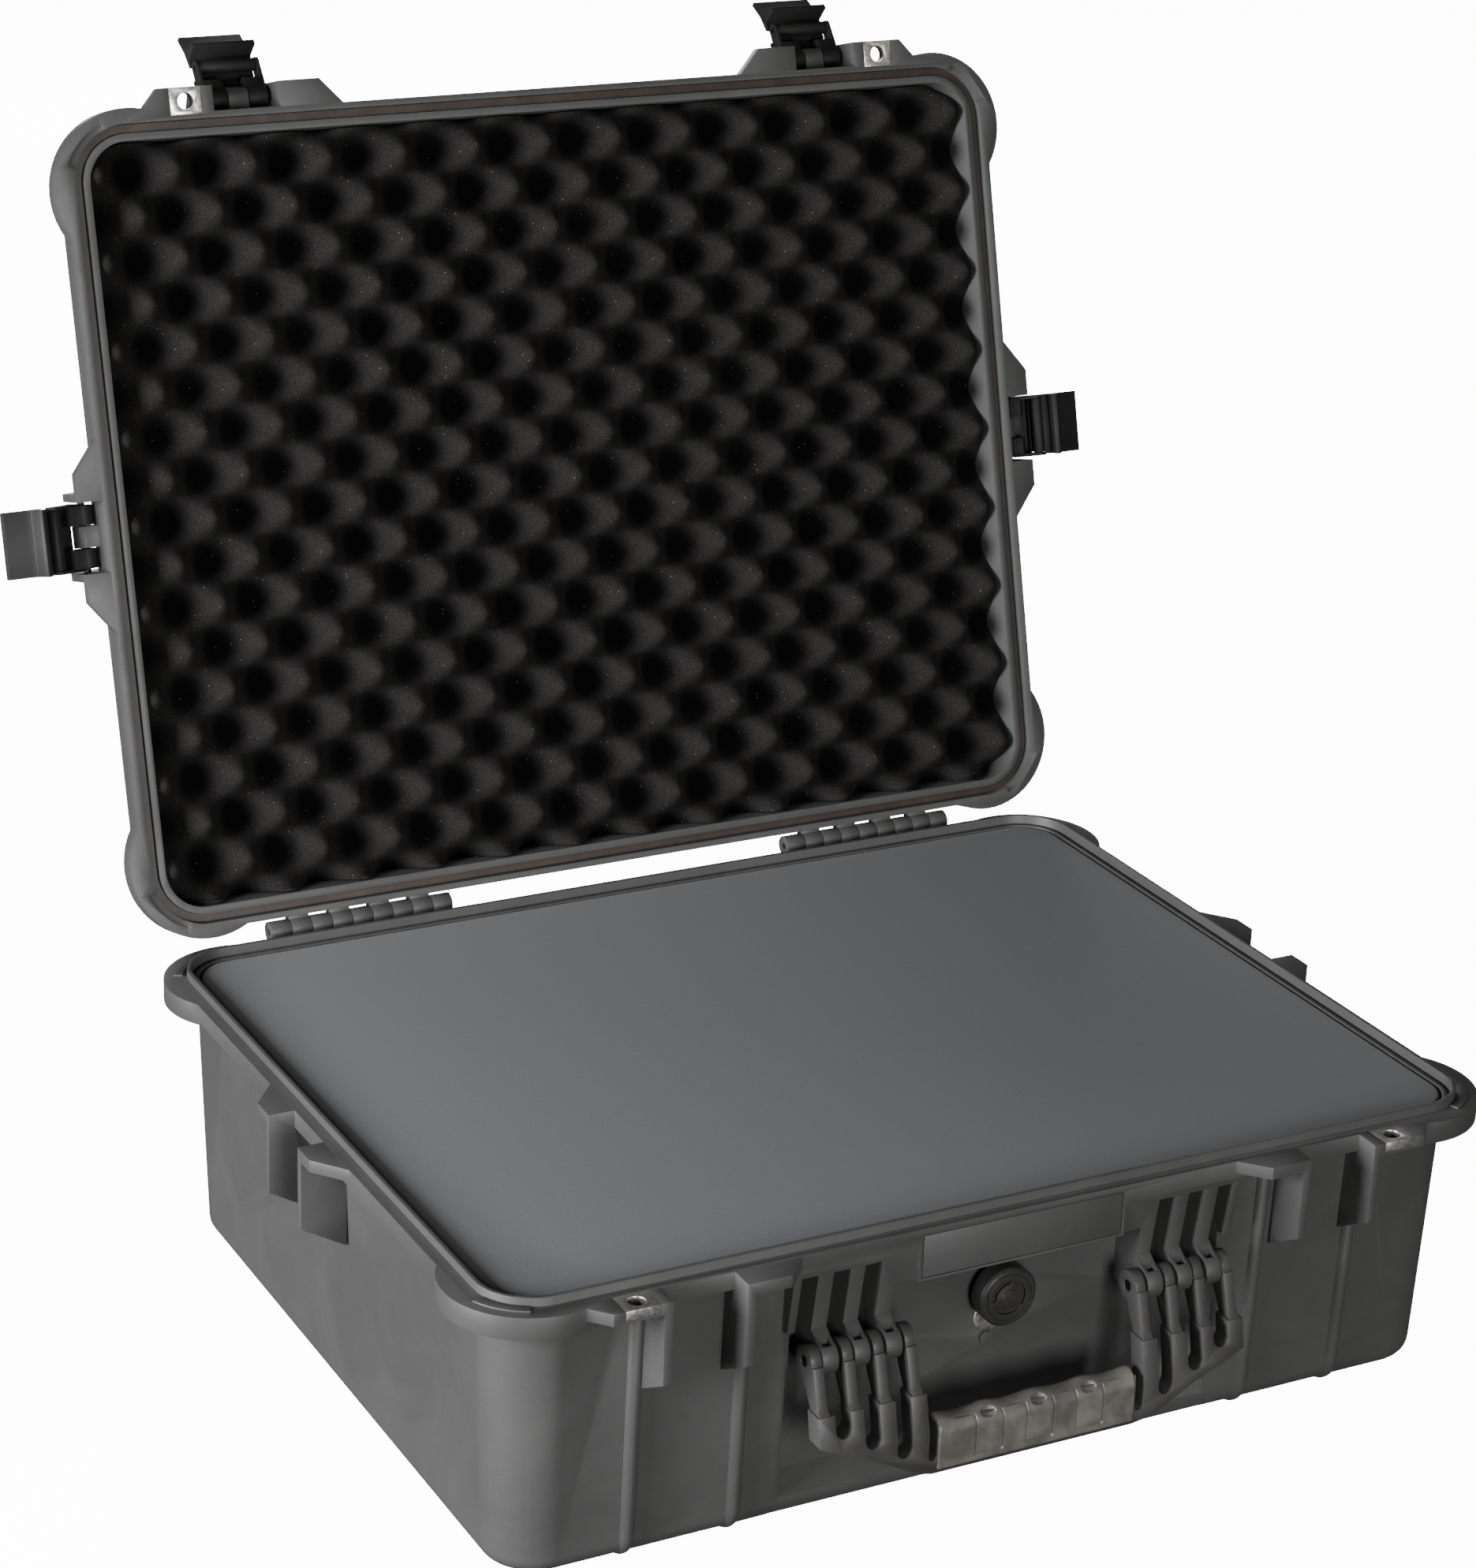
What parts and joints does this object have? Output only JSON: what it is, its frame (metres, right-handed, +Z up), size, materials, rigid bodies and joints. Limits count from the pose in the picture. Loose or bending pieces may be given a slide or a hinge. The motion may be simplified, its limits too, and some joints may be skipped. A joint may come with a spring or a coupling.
{
  "type": "hard equipment case",
  "caption": "Rectangular hard moulded case, lid open on rear hinges, foam inside, front handle, draw latches, vent valve and padlock plates.",
  "frame": {"origin": "centre of the base's opening in plan, level with the rest panel and the bottom ribs that the case stands on", "axes": "+X along the width to the right, -Y towards the front handle, +Z up"},
  "size_m": [0.6812, 0.6545, 0.6248],
  "materials": {
    "shell_plastic": "textured",
    "plate_plastic": "fine texture",
    "foam_base": "foam",
    "foam_lid": "foam",
    "plate_steel": "brushed",
    "pin_steel": "polished",
    "brass_stem": "turned",
    "grip_rubber": "soft moulded",
    "seal_rubber": "smooth",
    "knob_plastic": "fine texture",
    "latch_plastic": "textured",
    "handle_plastic": "textured"
  },
  "bodies": {
    "base": {"base_shell": "shell_plastic", "name_plate": "plate_plastic", "base_foam_top": "foam_base", "base_foam_middle": "foam_base", "base_foam_bottom": "foam_base", "base_lock_plate_left": "plate_steel", "base_lock_plate_right": "plate_steel", "hinge_pin_left": "pin_steel", "hinge_pin_right": "pin_steel", "handle_pin_left": "pin_steel", "handle_pin_right": "pin_steel", "valve_stem": "brass_stem", "valve_nut": "brass_stem", "valve_seal": "seal_rubber", "vent_disc": "plate_steel"},
    "lid": {"lid_shell": "shell_plastic", "lid_seal": "seal_rubber", "lid_foam": "foam_lid", "lid_lock_plate_left": "plate_steel", "lid_lock_plate_right": "plate_steel", "latch_pin_left": "pin_steel", "latch_pin_right": "pin_steel", "latch_pin_front_left": "pin_steel", "latch_pin_front_right": "pin_steel"},
    "handle": {"handle_frame": "handle_plastic", "handle_grip": "grip_rubber"},
    "valve": {"valve_knob": "knob_plastic"},
    "link_left": {"latch_link_left": "latch_plastic", "latch_bar_pin_left": "pin_steel"},
    "lever_left": {"latch_lever_left": "latch_plastic"},
    "link_right": {"latch_link_right": "latch_plastic", "latch_bar_pin_right": "pin_steel"},
    "lever_right": {"latch_lever_right": "latch_plastic"},
    "link_front_left": {"latch_link_front_left": "latch_plastic", "latch_bar_pin_front_left": "pin_steel"},
    "lever_front_left": {"latch_lever_front_left": "latch_plastic"},
    "link_front_right": {"latch_link_front_right": "latch_plastic", "latch_bar_pin_front_right": "pin_steel"},
    "lever_front_right": {"latch_lever_front_right": "latch_plastic"}
  },
  "joints": [
    {"name": "lid_hinge", "type": "hinge", "parent": "base", "child": "lid", "pos_m": [0, 0.2298, 0.158], "axis": [1, 0, 0], "range_deg": [0, 105.2]},
    {"name": "handle_pivot", "type": "hinge", "parent": "base", "child": "handle", "pos_m": [0, -0.2225, 0.099], "axis": [-1, 0, 0], "range_deg": [0, 100]},
    {"name": "valve_turn", "type": "hinge", "parent": "base", "child": "valve", "pos_m": [0, -0.1985, 0.1016], "axis": [0, -1, 0], "range_deg": [0, 90]},
    {"name": "latch_left_pivot", "type": "hinge", "parent": "lid", "child": "link_left", "pos_m": [-0.293, 0.30646, 0.3753], "axis": [0, 0.2622, 0.965], "range_deg": [-77, 73]},
    {"name": "latch_left_lever", "type": "hinge", "parent": "link_left", "child": "lever_left", "pos_m": [-0.31137, 0.29841, 0.37749], "axis": [0, -0.2622, -0.965], "range_deg": [0, 45]},
    {"name": "latch_right_pivot", "type": "hinge", "parent": "lid", "child": "link_right", "pos_m": [0.293, 0.30646, 0.3753], "axis": [0, -0.2622, -0.965], "range_deg": [-77, 73]},
    {"name": "latch_right_lever", "type": "hinge", "parent": "link_right", "child": "lever_right", "pos_m": [0.31137, 0.29841, 0.37749], "axis": [0, 0.2622, 0.965], "range_deg": [0, 45]},
    {"name": "latch_front_left_pivot", "type": "hinge", "parent": "lid", "child": "link_front_left", "pos_m": [-0.18, 0.36663, 0.59678], "axis": [1, 0, 0], "range_deg": [-26, 124]},
    {"name": "latch_front_left_lever", "type": "hinge", "parent": "link_front_left", "child": "lever_front_left", "pos_m": [-0.18, 0.38007, 0.61181], "axis": [-1, 0, 0], "range_deg": [0, 45]},
    {"name": "latch_front_right_pivot", "type": "hinge", "parent": "lid", "child": "link_front_right", "pos_m": [0.18, 0.36663, 0.59678], "axis": [1, 0, 0], "range_deg": [-26, 124]},
    {"name": "latch_front_right_lever", "type": "hinge", "parent": "link_front_right", "child": "lever_front_right", "pos_m": [0.18, 0.38007, 0.61181], "axis": [-1, 0, 0], "range_deg": [0, 45]}
  ]
}
